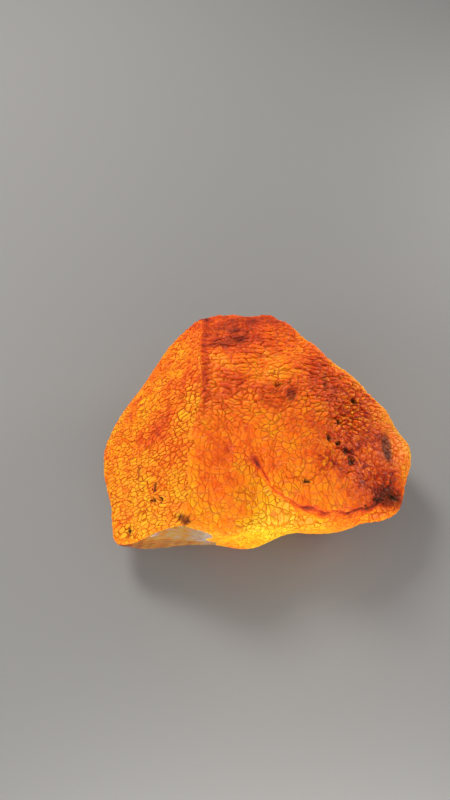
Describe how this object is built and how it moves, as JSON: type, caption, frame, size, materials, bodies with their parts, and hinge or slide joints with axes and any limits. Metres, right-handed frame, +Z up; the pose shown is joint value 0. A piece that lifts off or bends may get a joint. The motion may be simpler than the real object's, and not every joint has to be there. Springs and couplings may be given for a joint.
{
  "type": "raw amber piece",
  "caption": "Rough natural lump of amber with a finely cracked crust, a stepped shoulder, a chipped bank and a fresh glassy break at one corner, lying on a flat patch.",
  "frame": {"origin": "on the resting plane, under the middle of the lump's bounding box", "axes": "+X along the longest side, to the right when the glassy corner faces the viewer; +Y away from the viewer; +Z up"},
  "size_m": [0.084, 0.0646, 0.0341],
  "materials": {
    "amber": "translucent honey-orange fossil resin under a finely cracked, satin crust",
    "sealed_debris": "dark brown plant crumbs and clouds sealed in the resin",
    "sealed_flaw": "bright internal cracks and air bubbles",
    "pit_dirt": "matt dark earth left in the pits of the crust"
  },
  "bodies": {
    "root": {"amber_lump": "amber"}
  },
  "joints": []
}
